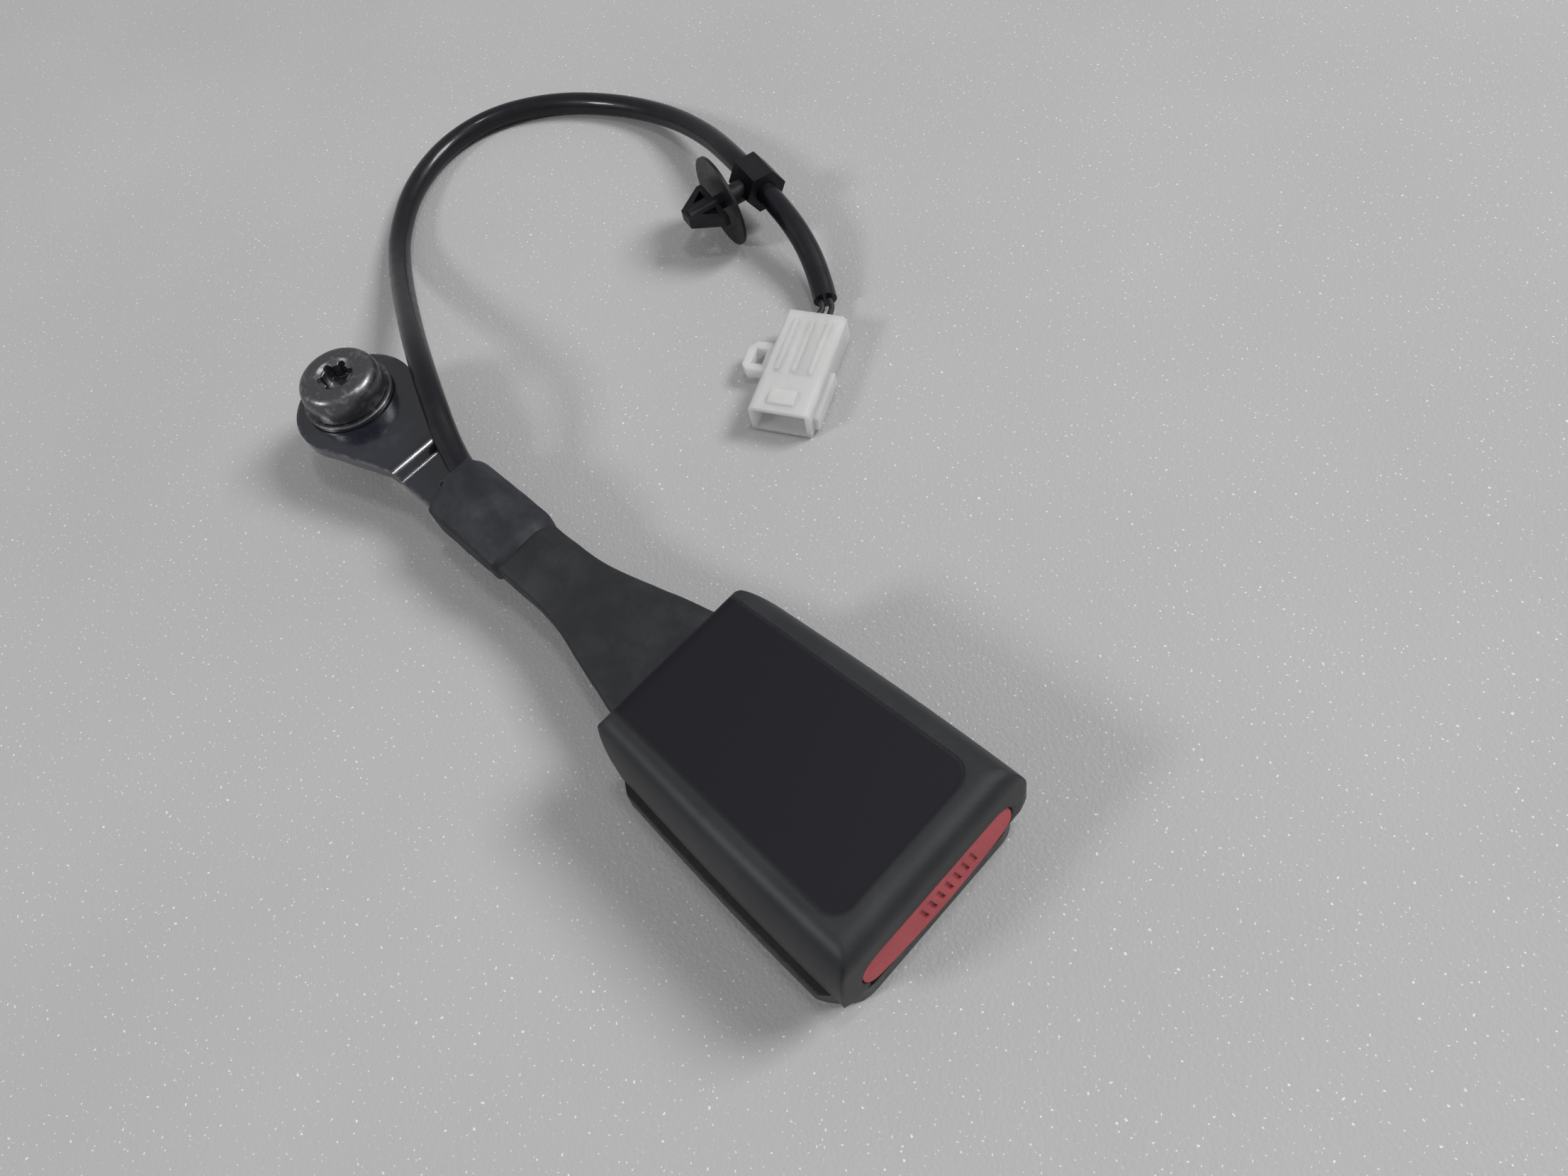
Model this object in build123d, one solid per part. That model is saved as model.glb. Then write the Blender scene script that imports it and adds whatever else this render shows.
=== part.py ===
from build123d import *
import math
import os

# Seat belt buckle on a steel stalk, with its anchor bolt and warning-switch lead.
# Millimetres. Origin: axis of the anchor bolt, on the underside of the bracket.
# +X points along the stalk to the mouth of the buckle, +Z to the bolt's head.

# ---------------------------------------------------------------- driving sizes
floor_z = -13.5              # what the buckle and the bolt's tip stand on
running_gap = 0.3            # between pieces that move past each other
slide_gap = 0.1              # between flat faces that slide on each other
seat_gap = 0.05              # between pieces that are laid on each other

# anchor bracket: 3 mm steel strip with a round eye, a joggle and a riveted end
steel_t = 3.0
eye_radius = 15.0
eye_centre_x = 2.5
eye_hole_radius = 6.3
strap_width = 14.0
neck_x = 26.5                # where the eye's plate ends and the joggle starts
joggle_drop = 2.5            # from the eye's plate down to the strap
joggle_length = 2.6
second_bend_x = 84.0         # a second, gentle step, inside the boot
second_bend_length = 8.0
second_drop = 2.5
strap_end_x = 136.0
bend_radius = 1.5            # inside radius of every bend
rivet_x = 128.6
rivet_radius = 4.0
rivet_head_radius = 6.0
rivet_head_height = 1.6
dimple_x = 38.0

# anchor bolt
thread_radius = 5.55         # 7/16 in
shoulder_radius = 5.9        # plain shoulder through washer, eye and retainer
bolt_head_radius = 10.0
bolt_face_radius = 7.2
bolt_head_height = 7.0
bolt_rim_height = 1.2
recess_radius = 4.4          # six-lobed recess, size T50
recess_depth = 4.6
bolt_tip_gap = 0.2
washer_radius = 11.0
washer_t = 1.4
retainer_radius = 8.5
retainer_t = 1.0

# sleeve boot and shrink band on the stalk
boot_start_x = 57.0
boot_flare_x = 79.0
boot_end_x = 121.5
boot_end_half = 16.2
boot_wall = 0.6
boot_edge_radius = 0.9
boot_side_height = 0.9       # above the strap, where the side ends and the slope begins
boot_ridge_height = 3.5      # above the strap, over the two wires
boot_ridge_y = 1.6
boot_ridge_half = 3.2
band_start_x = 43.0
band_end_x = 68.8
band_wall = 0.7

# buckle housing
rear_x = 117.5
front_x = 184.5
top_z = 15.4
parting_z = -2.3
wall = 2.0
side_half_width = 24.9       # at the parting line, near the front
rear_half_width = 21.6       # at the parting line, at the rear
flat_half_front = 18.6       # flat patch on top, half its width
flat_half_rear = 16.2
groove_depth = 1.3           # shadow line between the two covers
groove_height = 2.4
bulge_out = 1.8              # the lower cover stands out of the upper one by this much
base_half_width = 18.5       # flat underside, half its width
bulge_z = -8.4
panel_depth = 0.15           # sunk, grained panel on the flat top
panel_front_gap = 6.5
panel_side_gap = 0.6
panel_corner = 4.0
lip_top_z = -6.6             # lower edge of the mouth
lip_half_width = 20.0

# press button
button_half_width = 19.8
button_top_z = 6.4
button_low_z = -0.6
button_face_x = 184.9        # the middle of its face, which leans back at the top
button_depth = 5.2
button_lean_deg = 14.0
button_travel = 5.0
button_gap = 0.35

button_wall = 1.6
button_arm_t = 1.5
button_lug_x = 171.0         # ears that the button's springs push on
button_lug_t = 1.8
button_lug_low_z = 1.2
button_crown_radius = 260.0
rib_count = 7                # raised finger ribs, off centre on the button's face
rib_pitch = 2.2
rib_centre_y = 2.0
rib_depth = 0.35

# steel frame, latch, ejector and lock pin
frame_t = 2.2
frame_half_width = 14.0
frame_wall_t = 2.0
frame_start_x = 122.3
frame_end_x = 175.0
frame_wall_start_x = 134.0
frame_wall_end_x = 172.0
frame_wall_top_z = 11.6
tongue_t = 2.6               # the tongue of the other half, which the slot takes
tongue_half_width = 11.4
latch_pivot_x = 139.0
latch_pivot_z = 4.6
latch_pin_radius = 1.5
latch_pin_head_radius = 2.3
latch_pin_head_t = 0.9
latch_knuckle_radius = 2.7
latch_half_width = 9.0
latch_t = 2.4
latch_end_x = 168.0
latch_drop_deg = 10.0
tooth_x = 162.0
tooth_length = 4.0
tooth_half_width = 5.0
tooth_height = 5.0
ejector_travel = 12.0
ejector_face_x = 160.0
ejector_length = 7.0
ejector_top_z = 1.2
lock_pin_radius = 1.9
lock_pin_x = 162.0
lock_pin_z = 8.0
lock_pin_head = 0.5          # how far it stands out of the button's arms

# springs
spring_wire = 0.35           # radius
ejector_spring_radius = 2.2
ejector_spring_turns = 9
button_spring_radius = 2.0
button_spring_turns = 6
button_spring_z = 2.2
button_spring_seat_x = 160.0
latch_spring_turns = 3

# buckle switch
switch_x = 142.0
switch_length = 13.0
switch_low_z = -2.1
switch_height = 6.4
switch_width = 4.9
plunger_x = 145.0
plunger_radius = 1.1
plunger_travel = 1.0
plunger_reach = 0.8          # how far it stands into the ejector's channel

# wiring
conduit_radius = 3.0
lead_radius = 0.75
conduit_start = (52.0, 2.6, 3.65)
conduit_route = [
    conduit_start,
    (43.0, 3.2, 3.8),
    (34.0, 5.6, 5.6),
    (24.5, 9.0, 8.4),
    (14.0, 12.6, 9.0),
    (4.5, 17.3, 7.6),
    (-6.5, 23.0, 1.8),
    (-20.5, 29.2, -6.2),
    (-36.0, 36.6, -10.2),
    (-51.5, 46.4, -10.4),
    (-64.5, 60.5, -10.4),
    (-71.2, 78.0, -10.4),
    (-69.2, 95.5, -10.4),
    (-57.5, 110.5, -10.4),
    (-40.5, 120.5, -10.4),
    (-21.5, 124.8, -9.0),
    (-2.0, 122.5, -5.2),
    (15.0, 117.2, -1.5),
    (32.0, 112.6, -1.5),
    (46.0, 109.0, -3.8),
    (57.0, 104.2, -7.6),
    (64.5, 98.6, -9.4),
]
corner_share = 0.45          # share of the shorter run that an arc takes

# harness clip: its collar holds the conduit near the far end, its disc stands on the floor
clip_seat = (27.2, 113.9, -1.5)
clip_run = (0.966, -0.261, 0.0)
clip_collar_length = 10.0
clip_collar_radius = 5.8
clip_disc_radius = 12.0
clip_disc_at = 9.4           # from the conduit's axis
clip_disc_t = 1.3
clip_stem_radius = 2.0
clip_wing_half_width = 7.5
clip_wing_t = 3.0
clip_tip_at = 21.5

# two-way connector, lying on the floor
plug_width = 15.2
plug_height = 8.6
plug_length = 31.0
plug_mouth_depth = 12.0
plug_wall = 1.3
plug_terminal_pitch = 6.0
plug_terminal_width = 2.8
plug_terminal_t = 0.8
plug_terminal_tip = 24.0     # from the plug's rear
plug_rear = (69.0, 91.5)
plug_front = (82.4, 63.4)

strap_top_z = steel_t - joggle_drop
strap_low_z = strap_top_z - steel_t
strap_end_top_z = strap_top_z - second_drop
strap_end_low_z = strap_end_top_z - steel_t
frame_top_z = strap_end_low_z - seat_gap
frame_low_z = frame_top_z - frame_t
frame_channel_y = frame_half_width - frame_wall_t
ejector_half_width = frame_channel_y - running_gap
ejector_low_z = frame_top_z + slide_gap
button_arm_y = frame_half_width + running_gap
button_spring_y = (side_half_width - 0.5 - wall - button_spring_radius - spring_wire
                   - 2 * running_gap)
spring_axis_z = (ejector_low_z + ejector_top_z) / 2


# ---------------------------------------------------------------- small helpers
def box_between(low, high):
    """A box from its lowest to its highest corner."""
    size = [b - a for a, b in zip(low, high)]
    centre = [(a + b) / 2 for a, b in zip(low, high)]
    return Pos(*centre) * Box(*size)


def side_plate(points, half_width, radius=0.0):
    """An outline in the XZ plane, extruded to both sides of y = 0."""
    outline = make_face(Plane.XZ * Polyline(*points, close=True))
    solid = extrude(outline, amount=half_width, both=True)
    if radius > 0:
        solid = fillet(solid.edges().filter_by(Axis.Y), radius)
    return solid


def plan_plate(points, low, high, radius=0.0):
    """An outline in the XY plane, extruded from one height to another."""
    outline = make_face(Polyline(*points, close=True))
    if radius > 0:
        outline = fillet(outline.vertices(), radius)
    return Pos(0, 0, low) * extrude(outline, amount=high - low)


def mirrored(points):
    """An outline's points on +Y, followed by their mirror images on -Y."""
    return points + [(x, -y) for x, y in reversed(points)]


def across(x):
    """The plane across the stalk at x, with Y to the right and Z up."""
    return Plane(origin=(x, 0, 0), x_dir=(0, 1, 0), z_dir=(1, 0, 0))


def coil(radius, length, turns, wire):
    """A helical spring along +Z, starting at the origin."""
    path = Helix(pitch=(length - 2 * wire) / turns, height=length - 2 * wire, radius=radius)
    start = Plane(origin=path @ 0, z_dir=path % 0)
    return Pos(0, 0, wire) * sweep(start * Circle(wire), path=path, is_frenet=True)


def tube_path(points):
    """Straight runs joined by tangent arcs, each as large as its two runs allow."""
    spots = [Vector(*p) for p in points]
    radii = []
    for before, here, after in zip(spots, spots[1:], spots[2:]):
        run_in = here - before
        run_out = after - here
        turn = math.radians(run_in.get_angle(run_out))
        shorter = min(run_in.length, run_out.length)
        radii.append(corner_share * shorter / math.tan(turn / 2))
    return FilletPolyline(*points, radius=radii), radii


def tube(points, radius):
    """A round solid along a route of points."""
    path, radii = tube_path(points)
    start = Plane(origin=path @ 0, z_dir=path % 0)
    return sweep(start * Circle(radius), path=path), path, radii


# ---------------------------------------------------------------- anchor end
def anchor_bracket():
    """One strip of pressed steel: round eye, joggle, strap, gentle step, riveted end."""
    drop_x = neck_x + joggle_length
    step_x = second_bend_x + second_bend_length
    rear = eye_centre_x - eye_radius - 1
    middle = FilletPolyline(
        (rear, 0, steel_t / 2),
        (neck_x, 0, steel_t / 2),
        (drop_x, 0, strap_top_z - steel_t / 2),
        (second_bend_x, 0, strap_top_z - steel_t / 2),
        (step_x, 0, strap_end_top_z - steel_t / 2),
        (strap_end_x, 0, strap_end_top_z - steel_t / 2),
        radius=bend_radius + steel_t / 2,
    )
    start = Plane(origin=middle @ 0, x_dir=(0, 1, 0), z_dir=middle % 0)
    strip = sweep(start * Rectangle(2 * eye_radius + 4, steel_t), path=middle)
    half = strap_width / 2
    eye = Pos(eye_centre_x, 0) * Circle(eye_radius)
    shoulder = make_face(Polyline(*mirrored([
        (eye_centre_x + 4.0, eye_radius * 0.955),
        (neck_x + 1.5, half),
    ]), close=True))
    strap = Pos((neck_x + strap_end_x) / 2, 0) * Rectangle(strap_end_x - neck_x, strap_width)
    plan = eye + shoulder + strap
    corners = [v for v in plan.vertices() if abs(v.X - strap_end_x) < 0.1]
    plan = fillet(corners, 3.0)
    plan = extrude(Pos(0, 0, -20) * plan, amount=40)
    bracket = strip & plan
    bracket -= Pos(0, 0, -5) * extrude(Circle(eye_hole_radius), amount=20)
    bracket -= Pos(rivet_x, 0, -20) * extrude(Circle(rivet_radius), amount=40)
    bracket -= Pos(dimple_x, -1.0, strap_top_z) * Sphere(0.9)
    return bracket


def anchor_bolt():
    """Domed head with a rim, six-lobed recess, plain shank with a run-out tip."""
    seat = steel_t + washer_t + 2 * seat_gap
    rim = seat + bolt_rim_height
    crown = seat + bolt_head_height
    tip = floor_z + bolt_tip_gap
    head = make_face(Plane.XZ * (
        Polyline((0, crown), (0, tip), (thread_radius - 1.2, tip), (thread_radius, tip + 1.6),
                 (thread_radius, -retainer_t - 2 * seat_gap),
                 (shoulder_radius, -retainer_t - 2 * seat_gap),
                 (shoulder_radius, seat), (bolt_head_radius - 0.4, seat),
                 (bolt_head_radius, seat + 0.4), (bolt_head_radius, rim))
        + Bezier((bolt_head_radius, rim), (bolt_head_radius, crown - 1.6),
                 (bolt_face_radius + 1.9, crown - 0.25), (bolt_face_radius, crown))
        + Line((bolt_face_radius, crown), (0, crown))
    ))
    bolt = revolve(head, Axis.Z)
    lobe = recess_radius * 0.23
    recess = Circle(recess_radius * 0.76) + PolarLocations(recess_radius - lobe, 6) * Circle(lobe)
    bolt -= Pos(0, 0, crown - recess_depth) * extrude(recess, amount=recess_depth + 1)
    bolt -= Pos(0, 0, crown - 0.3) * Cone(recess_radius * 0.9, recess_radius * 1.12, 0.62)
    return bolt


def bolt_washer():
    """Flat washer that turns with the bolt, above the eye."""
    ring = Circle(washer_radius) - Circle(shoulder_radius + seat_gap)
    ring = extrude(ring, amount=washer_t)
    ring = fillet(ring.edges().filter_by(GeomType.CIRCLE).sort_by(Edge.length)[-2:], 0.35)
    return Pos(0, 0, steel_t + seat_gap) * ring


def bolt_retainer():
    """Thin fibre disc that is pushed on under the eye, so that the bolt can't be lost."""
    ring = Circle(retainer_radius) - Circle(shoulder_radius + seat_gap)
    return Pos(0, 0, -seat_gap - retainer_t) * extrude(ring, amount=retainer_t)


def strap_rivet():
    """Steel rivet through the strap and the buckle frame, set to a low dome on both sides."""
    high = strap_end_top_z + seat_gap
    low = frame_low_z - seat_gap
    crown = rivet_head_height
    round_x = rivet_head_radius * 0.6
    profile = make_face(Plane.XZ * (
        Bezier((0, high + crown), (round_x, high + crown), (rivet_head_radius - 0.3, high + crown),
               (rivet_head_radius, high))
        + Polyline((rivet_head_radius, high), (rivet_radius, high), (rivet_radius, low),
                   (rivet_head_radius, low))
        + Bezier((rivet_head_radius, low), (rivet_head_radius - 0.3, low - crown),
                 (round_x, low - crown), (0, low - crown))
        + Line((0, low - crown), (0, high + crown))
    ))
    return Pos(rivet_x, 0, 0) * revolve(profile, Axis.Z)


# ---------------------------------------------------------------- stalk covers
def stalk_section(x, half, low, side, top, ridge_y, ridge_half, radius):
    """A flat six-cornered section with a ridge on top, for the boot and the band."""
    outline = Polyline(
        (-half, low), (half, low), (half, side),
        (ridge_y + ridge_half, top), (ridge_y - ridge_half, top), (-half, side),
        close=True,
    )
    face = make_face(outline)
    if radius > 0:
        face = fillet(face.vertices(), radius)
    return across(x) * face


boot_rear_half = strap_width / 2 + slide_gap + boot_wall
boot_waist_x = boot_flare_x + second_bend_length
boot_shoulder_x = boot_end_x - 10.5
boot_halves = {boot_flare_x: boot_rear_half, boot_waist_x: boot_rear_half * 1.11,
               boot_shoulder_x: boot_end_half * 0.877, boot_end_x: boot_end_half}


def boot_section(x, half, inset):
    """The boot's section: it sinks with the strap's step and its ridge fades out."""
    share = min(max((x - boot_flare_x) / (boot_end_x - boot_flare_x), 0), 1)
    drop = second_drop * min(max((x - boot_flare_x) / second_bend_length, 0), 1)
    low = strap_low_z - slide_gap - boot_wall - drop - boot_wall * share
    side = strap_top_z + boot_side_height * (1 + 1.3 * share)
    top = strap_top_z + boot_ridge_height * (1 + 0.29 * share)
    return stalk_section(x, half - inset, low + inset, side - inset * 0.4, top - inset,
                         boot_ridge_y * (1 - share), boot_ridge_half * (1 + 1.7 * share), 0)


def boot_form(inset):
    """The boot's form, inset by a wall: straight under the band, flared at the buckle."""
    straight = loft([boot_section(x, boot_rear_half, inset)
                     for x in (boot_start_x, boot_flare_x)])
    flare = loft([boot_section(x, half, inset) for x, half in boot_halves.items()])
    if inset == 0:
        straight = fillet([e for e in straight.edges() if e.length > 20], boot_edge_radius)
        flare = fillet([e for e in flare.edges() if e.length > 40], boot_edge_radius)
    return straight + flare


def sleeve_boot():
    """Soft plastic sleeve over the strap and its wires."""
    return boot_form(0) - boot_form(boot_wall)


def band_form(inset):
    """The shrink band's form: it follows the strap and the conduit that lies on it."""
    half = boot_rear_half + slide_gap + band_wall
    low = strap_low_z - slide_gap - boot_wall - slide_gap - band_wall
    over_conduit = conduit_start[2] + conduit_radius + 0.4 + band_wall
    over_boot = strap_top_z + boot_ridge_height + slide_gap + band_wall
    radius = 0.8 if inset else 1.5
    sections = []
    for x, side, top, ridge_y, ridge_half in (
        (band_start_x, strap_top_z + 2.6, over_conduit, 2.9, 2.6),
        (conduit_start[0] + 3.0, strap_top_z + 2.2, over_conduit - 0.2, 2.4, 2.8),
        (band_end_x, strap_top_z + 1.9, over_boot + 0.1, 1.6, 3.6),
    ):
        sections.append(stalk_section(x, half - inset, low + inset, side - inset * 0.4,
                                      top - inset, ridge_y, ridge_half, radius))
    return loft(sections)


def shrink_band():
    """Shrunk tube that binds the conduit and the boot's end to the strap."""
    return band_form(0) - band_form(band_wall)


# ---------------------------------------------------------------- buckle covers
def share_along(x):
    """0 at the housing's rear, rising smoothly to 1 near its front."""
    share = min(max((x - rear_x) / (front_x - rear_x), 0), 1)
    return math.sin(share * math.pi / 2)


def half_at(x):
    """Half width of the housing at the parting line."""
    return rear_half_width + (side_half_width - rear_half_width) * share_along(x)


def upper_section(x, inset):
    """Flat top, broad soft shoulders and nearly upright sides."""
    half = half_at(x) - inset
    flat = flat_half_rear + (flat_half_front - flat_half_rear) * share_along(x) - inset * 0.6
    top = top_z - inset
    foot = parting_z - (inset and 1.0)
    waist = parting_z + 5.5
    right = [(half, foot), (half - 0.2, waist)]
    outline = (
        Line((-half, foot), right[0]) + Line(*right)
        + Bezier(right[1], (half - 0.5, waist + 6.2), (flat + 4.2, top - 0.1), (flat, top))
        + Line((flat, top), (-flat, top))
        + Bezier((-flat, top), (-flat - 4.2, top - 0.1), (-half + 0.5, waist + 6.2),
                 (-half + 0.2, waist))
        + Line((-half + 0.2, waist), (-half, foot))
    )
    return across(x) * make_face(outline)


def lower_section(x, inset):
    """Flat underside, rounded bilge and a recessed strip under the parting line."""
    half = half_at(x) - inset
    bulge = half + bulge_out
    flat = base_half_width - 0.4 * inset + (half_at(x) - side_half_width)
    low = floor_z + inset
    step = parting_z - groove_height
    neck = half - groove_depth
    head = parting_z + (inset and 1.0)
    outline = (
        Line((-flat, low), (flat, low))
        + Bezier((flat, low), (flat + 3.6, low), (bulge, bulge_z - 2.6), (bulge, bulge_z))
        + Line((bulge, bulge_z), (bulge - 0.4, step - 0.6))
        + Line((bulge - 0.4, step - 0.6), (neck, step))
        + Line((neck, step), (neck, head))
        + Line((neck, head), (-neck, head))
        + Line((-neck, head), (-neck, step))
        + Line((-neck, step), (-bulge + 0.4, step - 0.6))
        + Line((-bulge + 0.4, step - 0.6), (-bulge, bulge_z))
        + Bezier((-bulge, bulge_z), (-bulge, bulge_z - 2.6), (-flat - 3.6, low), (-flat, low))
    )
    return across(x) * make_face(outline)


stations = [rear_x - 4, 126.0, 138.0, 152.0, 168.0, front_x + 4]


def upper_form(inset):
    """The upper cover's form: lofted across, then trimmed in side view and in plan."""
    body = loft([upper_section(x, inset) for x in stations])
    low = parting_z - 2
    rear = rear_x + inset
    front = front_x - inset
    top = top_z - inset
    side = make_face(Plane.XZ * (
        Polyline((front + 0.3, low), (rear - 0.3, low), (rear + 1.6, top - 2.2))
        + Bezier((rear + 1.6, top - 2.2), (rear + 1.8, top - 0.6), (rear + 3.0, top - 0.1),
                 (rear + 5.5, top))
        + Line((rear + 5.5, top), (front - 5.0, top))
        + Bezier((front - 5.0, top), (front - 2.0, top), (front - 0.9, top - 1.4),
                 (front - 0.6, top - 4.5))
        + Line((front - 0.6, top - 4.5), (front + 0.3, low))
    ))
    body &= extrude(side, amount=40, both=True)
    half_rear = rear_half_width - inset
    half_front = side_half_width - inset
    plan = make_face(
        Line((rear - 0.3, -half_rear + 8.0), (rear - 0.3, half_rear - 11.6))
        + Bezier((rear - 0.3, half_rear - 11.6), (rear - 0.3, half_rear - 5.6),
                 (rear + 2.0, half_rear - 3.4), (rear + 9, half_rear - 1.1))
        + Bezier((rear + 9, half_rear - 1.1), (rear + 15, half_rear + 0.9),
                 (rear + 22, half_rear + 3.0), (rear + 30, half_rear + 5.3))
        + Line((rear + 30, half_rear + 5.3), (front - 12, half_front + 2))
        + Line((front - 12, half_front + 2), (front - 3.0, half_front + 4))
        + ThreePointArc((front - 3.0, half_front + 4), (front - 0.4, half_front - 0.5),
                        (front + 0.3, half_front - 6))
        + ThreePointArc((front + 0.3, half_front - 6), (front + 0.8, 0),
                        (front + 0.3, -half_front + 6))
        + ThreePointArc((front + 0.3, -half_front + 6), (front - 0.4, -half_front + 0.5),
                        (front - 3.0, -half_front - 4))
        + Line((front - 3.0, -half_front - 4), (rear + 12, -half_rear - 3.2))
        + Bezier((rear + 12, -half_rear - 3.2), (rear + 2.0, -half_rear - 0.4),
                 (rear - 0.3, -half_rear + 3.0), (rear - 0.3, -half_rear + 8.0))
    )
    return body & Pos(0, 0, -30) * extrude(plan, amount=60)


def lower_form(inset):
    """The lower cover's form: a tray with rounded ends."""
    body = loft([lower_section(x, inset) for x in stations])
    rear = rear_x + 0.9 + inset
    front = front_x - 0.3 - inset
    low = floor_z + inset
    side = make_face(Plane.XZ * (
        Line((front - 0.2, 5), (rear, 5)) + Line((rear, 5), (rear + 0.3, bulge_z + 1))
        + Bezier((rear + 0.3, bulge_z + 1), (rear + 0.5, low + 1.2), (rear + 2.0, low + 0.1),
                 (rear + 6, low))
        + Line((rear + 6, low), (front - 2.6, low))
        + ThreePointArc((front - 2.6, low), (front - 0.7, low + 0.7), (front, low + 2.4))
        + Line((front, low + 2.4), (front - 0.2, 5))
    ))
    body &= extrude(side, amount=40, both=True)
    half_rear = rear_half_width - inset
    half_front = side_half_width - inset
    plan = make_face(
        Line((rear, -half_rear + 7.5), (rear, half_rear - 11.0))
        + Bezier((rear, half_rear - 11.0), (rear, half_rear - 5.0), (rear + 2.4, half_rear - 2.4),
                 (rear + 9, half_rear + 0.2))
        + Bezier((rear + 9, half_rear + 0.2), (rear + 15, half_rear + 2.5),
                 (rear + 22, half_rear + 4.6), (rear + 30, half_rear + 6.8))
        + Line((rear + 30, half_rear + 6.8), (front - 9.0, half_front + 3.2))
        + Bezier((front - 9.0, half_front + 3.2), (front - 4.0, half_front + 0.4),
                 (front, half_front - 2.6), (front, half_front - 8.5))
        + Line((front, half_front - 8.5), (front, -half_front + 8.5))
        + Bezier((front, -half_front + 8.5), (front, -half_front + 2.6),
                 (front - 4.0, -half_front - 0.4), (front - 9.0, -half_front - 3.2))
        + Line((front - 9.0, -half_front - 3.2), (rear + 9, -half_rear - 3.5))
        + Bezier((rear + 9, -half_rear - 3.5), (rear + 1.8, -half_rear - 0.2),
                 (rear, -half_rear + 3.0), (rear, -half_rear + 7.5))
    )
    return body & Pos(0, 0, -30) * extrude(plan, amount=60)


def button_outline(margin):
    """Front view of the button: a low bar with round ends."""
    half = button_half_width + margin
    top = button_top_z + margin
    low = button_low_z - margin
    end = (top + low) / 2 - 0.8
    outline = (
        Line((-half + 3.4, low), (half - 3.4, low))
        + Bezier((half - 3.4, low), (half - 0.9, low), (half, end - 1.5), (half, end))
        + Bezier((half, end), (half, end + 2.6), (half - 1.6, top), (half - 5.0, top))
        + Line((half - 5.0, top), (-half + 5.0, top))
        + Bezier((-half + 5.0, top), (-half + 1.6, top), (-half, end + 2.6), (-half, end))
        + Bezier((-half, end), (-half, end - 1.5), (-half + 0.9, low), (-half + 3.4, low))
    )
    return make_face(outline)


def boot_gate():
    """The opening in the housing's rear wall that the boot goes through."""
    return box_between((rear_x - 5, -16.4, strap_end_low_z - 2.2), (rear_x + 6, 16.4, 5.6))


def upper_cover():
    """Moulded shell: top, soft shoulders, and ears beside the button."""
    shell = upper_form(0) - upper_form(wall)
    panel_rear = flat_half_rear - panel_side_gap
    panel_front = flat_half_front - panel_side_gap
    panel = Polyline((rear_x - 5, -panel_rear), (front_x - panel_front_gap, -panel_front),
                     (front_x - panel_front_gap, panel_front), (rear_x - 5, panel_rear),
                     close=True)
    panel = make_face(panel)
    panel = fillet(panel.vertices().sort_by(Axis.X)[-2:], panel_corner)
    shell -= Pos(0, 0, top_z - panel_depth) * extrude(panel, amount=5)
    mouth = across(front_x - 8) * button_outline(button_gap)
    shell -= extrude(mouth, amount=20)
    low = (front_x - 8, -button_half_width - button_gap + 1.2, parting_z - 5)
    shell -= box_between(low, (front_x + 5, button_half_width + button_gap - 1.2, 2.0))
    shell -= boot_gate()
    seats = box_between((button_spring_seat_x - 1.6, -30, parting_z),
                        (button_spring_seat_x - 0.1, 30, button_spring_z + 3.5))
    seats -= box_between((100, -button_arm_y - button_arm_t - 1.2, -50),
                         (200, button_arm_y + button_arm_t + 1.2, 50))
    shell += seats & upper_form(wall / 2)
    shell -= box_between((rear_x - 5, -40, parting_z - 20), (front_x + 5, 40, parting_z))
    return shell


def lower_cover():
    """Moulded tray: underside, bilges, front lip and the seat for the steel frame."""
    shell = lower_form(0) - lower_form(wall)
    shell -= box_between((rear_x - 5, -40, parting_z - seat_gap), (front_x + 5, 40, 20))
    mouth_low = (front_x - 12, -lip_half_width, lip_top_z)
    shell -= box_between(mouth_low, (front_x + 5, lip_half_width, 20))
    shell -= boot_gate()
    for x in (frame_start_x + 14, frame_end_x - 6):
        for y in (-8, 8):
            post_low = floor_z + wall - 0.2
            post = Cylinder(2.2, frame_low_z - seat_gap - post_low, align=(Align.CENTER, Align.CENTER, Align.MIN))
            shell += Pos(x, y, post_low) * post
    return shell


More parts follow.
